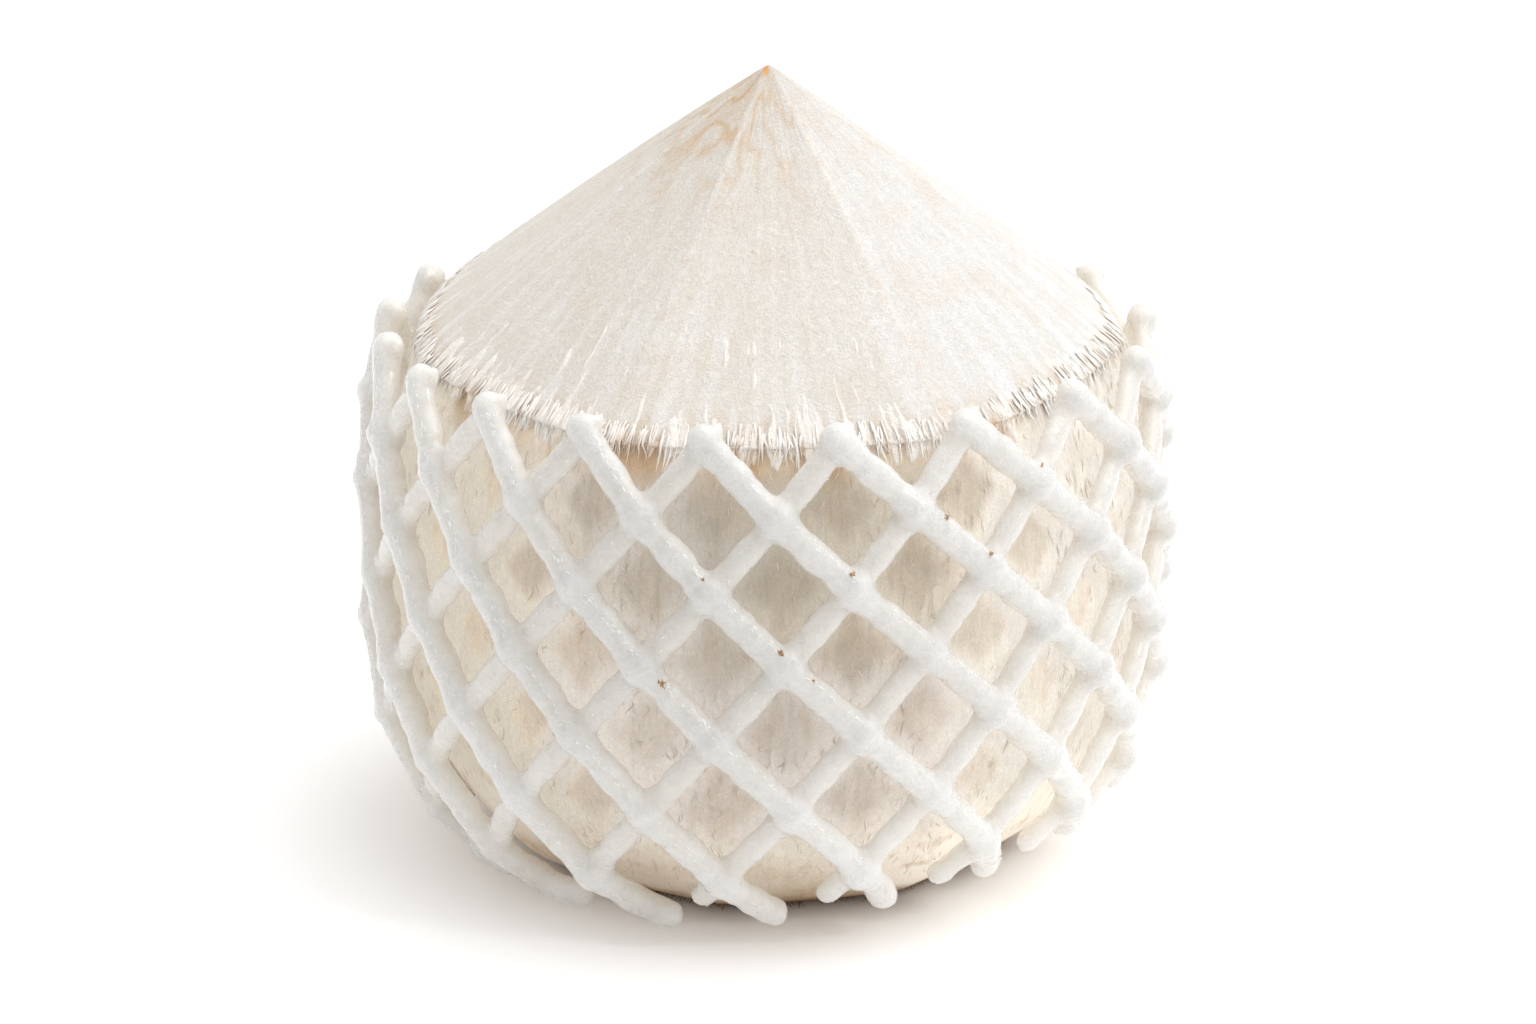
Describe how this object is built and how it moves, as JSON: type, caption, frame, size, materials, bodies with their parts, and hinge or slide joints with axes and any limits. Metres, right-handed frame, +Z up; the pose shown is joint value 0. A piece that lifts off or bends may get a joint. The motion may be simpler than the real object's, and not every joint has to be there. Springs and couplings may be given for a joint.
{
  "type": "trimmed young coconut in a foam net sleeve",
  "caption": "Young coconut trimmed to a pale drum with a pointed faceted top, standing on its flat cut base in a white foam net sleeve.",
  "frame": {"origin": "on the fruit's axis, at the flat cut that it stands on", "axes": "+Z up through the point of the cone, front towards -Y, +X to the right seen from the front"},
  "size_m": [0.1371, 0.1376, 0.1325],
  "materials": {
    "husk": "matt, fibrous, fresh cut",
    "foam": "soft satin white foam, slightly translucent"
  },
  "bodies": {
    "root": {"coconut": "husk", "foam_net": "foam"}
  },
  "joints": []
}
